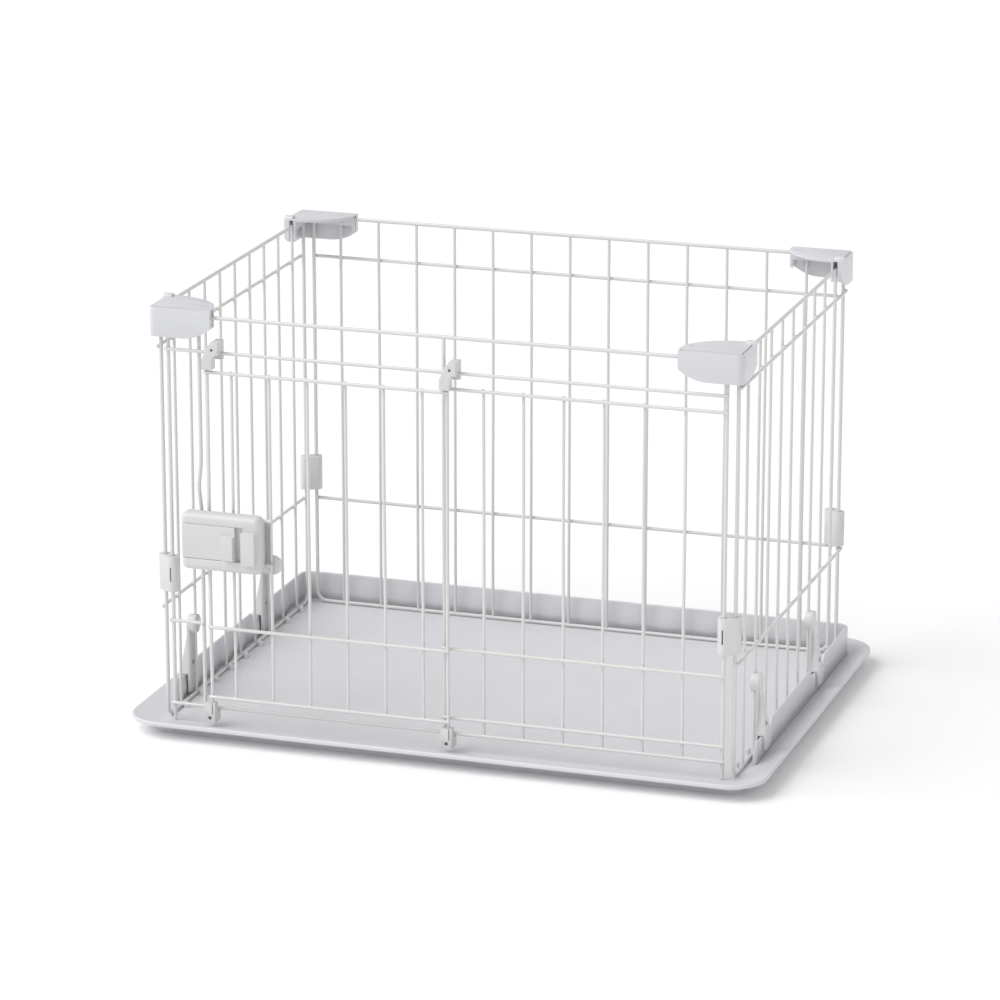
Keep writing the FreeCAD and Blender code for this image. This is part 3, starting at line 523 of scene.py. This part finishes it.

# ---------------------------------------------------------------------------
# Lock: a two-part housing screwed together round the door's wires. A sprung plate
# slides in its face, worked by pinching the two finger ridges together. The spring is
# wound from plated wire and drawn at one length; the real one shortens as the plate is pressed.
# ---------------------------------------------------------------------------

softened("lock_body", "door", warm_white, 0.7)
softened("lock_back_plate", "door", warm_white, 0.5)
softened("lock_slider", "slider", warm_white, 0.9)


def plated(name):
    """Zinc plated steel: a pale metal with fine drawing marks in its gloss."""
    material = moulded(name, (0.62, 0.62, 0.63), 0.3, grain=0.00002, scale=1500.0)
    material.node_tree.nodes["Principled BSDF"].inputs["Metallic"].default_value = 1.0
    material.node_tree.nodes["Principled BSDF"].inputs["Subsurface Weight"].default_value = 0.0
    return material


zinc = plated("zinc_plated_steel")
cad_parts["lock_screws"].material_slots[0].material = zinc


def coil(start, end, centre, rad, thick, turns, count=320):
    """Round wire wound about X: the centre turns at a steady rate as it moves along, and the
    section is a circle in the radial and side directions that closes at both ends."""
    turn = np.linspace(0, 2 * math.pi * turns, count)
    radial = np.stack([0 * turn, np.sin(turn), -np.cos(turn)], axis=1)
    middle = np.stack([np.linspace(start, end, count), centre[0] + 0 * turn,
                       centre[1] + 0 * turn], axis=1)
    middle = middle + rad * radial
    tangent = np.gradient(middle, axis=0)
    tangent /= np.linalg.norm(tangent, axis=1, keepdims=True)
    side = np.cross(tangent, radial)
    size = np.full(count, thick)
    size[[0, -1]] = 0
    size[[1, -2]] = 0.7 * thick
    around = np.linspace(0, 2 * math.pi, 9)[:-1, None]
    section = np.cos(around) * radial[:, None] + np.sin(around) * side[:, None]
    return grid_mesh(middle[:, None] + size[:, None, None] * section, round_v=True)


spring_ends, spring_axis = (-242.35, -214.85), (-229.8, 213)
coil_rad, wire_rad, coil_turns = 2.6, 0.35, 8.87
spring = joined("return_spring", [coil(*spring_ends, spring_axis, coil_rad, wire_rad, coil_turns)])
spring.data.materials.append(zinc)
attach(spring, "door")
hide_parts("lock_spring")
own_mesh(spring)

# ---------------------------------------------------------------------------
# Studio: a pale floor under soft, nearly even light, seen from a little above and
# to the right of the front panel.
# ---------------------------------------------------------------------------

ground = bpy.data.meshes.new("studio_floor")
ground.from_pydata([(-40, -40, 0), (40, -40, 0), (40, 40, 0), (-40, 40, 0)], [], [(0, 1, 2, 3)])
floor = bpy.data.objects.new("studio_floor", ground)
bpy.context.scene.collection.objects.link(floor)
pale = bpy.data.materials.new("pale_floor")
pale.use_nodes = True
pale.node_tree.nodes["Principled BSDF"].inputs["Base Color"].default_value = (0.965, 0.965, 0.965, 1)
pale.node_tree.nodes["Principled BSDF"].inputs["Roughness"].default_value = 0.9
ground.materials.append(pale)

world = bpy.data.worlds.new("studio")
world.use_nodes = True
world.node_tree.nodes["Background"].inputs["Color"].default_value = (1, 1, 1, 1)
world.node_tree.nodes["Background"].inputs["Strength"].default_value = 0.62
bpy.context.scene.world = world


def softbox(name, place, aim, size, power):
    """Rectangular lamp at a place, turned to face the aim."""
    lamp = bpy.data.lights.new(name, "AREA")
    lamp.shape = "RECTANGLE"
    lamp.size, lamp.size_y = size
    lamp.energy = power
    made = bpy.data.objects.new(name, lamp)
    made.location = place
    way = np.array(aim) - np.array(place)
    made.rotation_euler = Vector(way).to_track_quat("-Z", "Y").to_euler()
    bpy.context.scene.collection.objects.link(made)


softbox("fill_light", (2.4, -2.6, 1.6), (0, 0, 0.2), (1.4, 1.4), 4)

sun = bpy.data.objects.new("key_light", bpy.data.lights.new("key_light", "SUN"))
sun.data.energy = 1.95
sun.data.angle = math.radians(50)
sun.rotation_euler = Vector((0.8, 0.48, -1.0)).to_track_quat("-Z", "Y").to_euler()
bpy.context.scene.collection.objects.link(sun)
bpy.context.scene.view_settings.view_transform = "Standard"

camera = bpy.data.objects.new("camera", bpy.data.cameras.new("camera"))
camera.data.sensor_width = 36.0
camera.data.lens = 169.2
camera.data.clip_end = 200.0
yaw, pitch = 0.3184, 0.2875
look = Vector((-math.sin(yaw) * math.cos(pitch), math.cos(yaw) * math.cos(pitch),
                  -math.sin(pitch)))
camera.rotation_euler = look.to_track_quat("-Z", "Y").to_euler()
camera.location = (1.4498, -4.4272, 1.591)
bpy.context.scene.collection.objects.link(camera)
bpy.context.scene.camera = camera
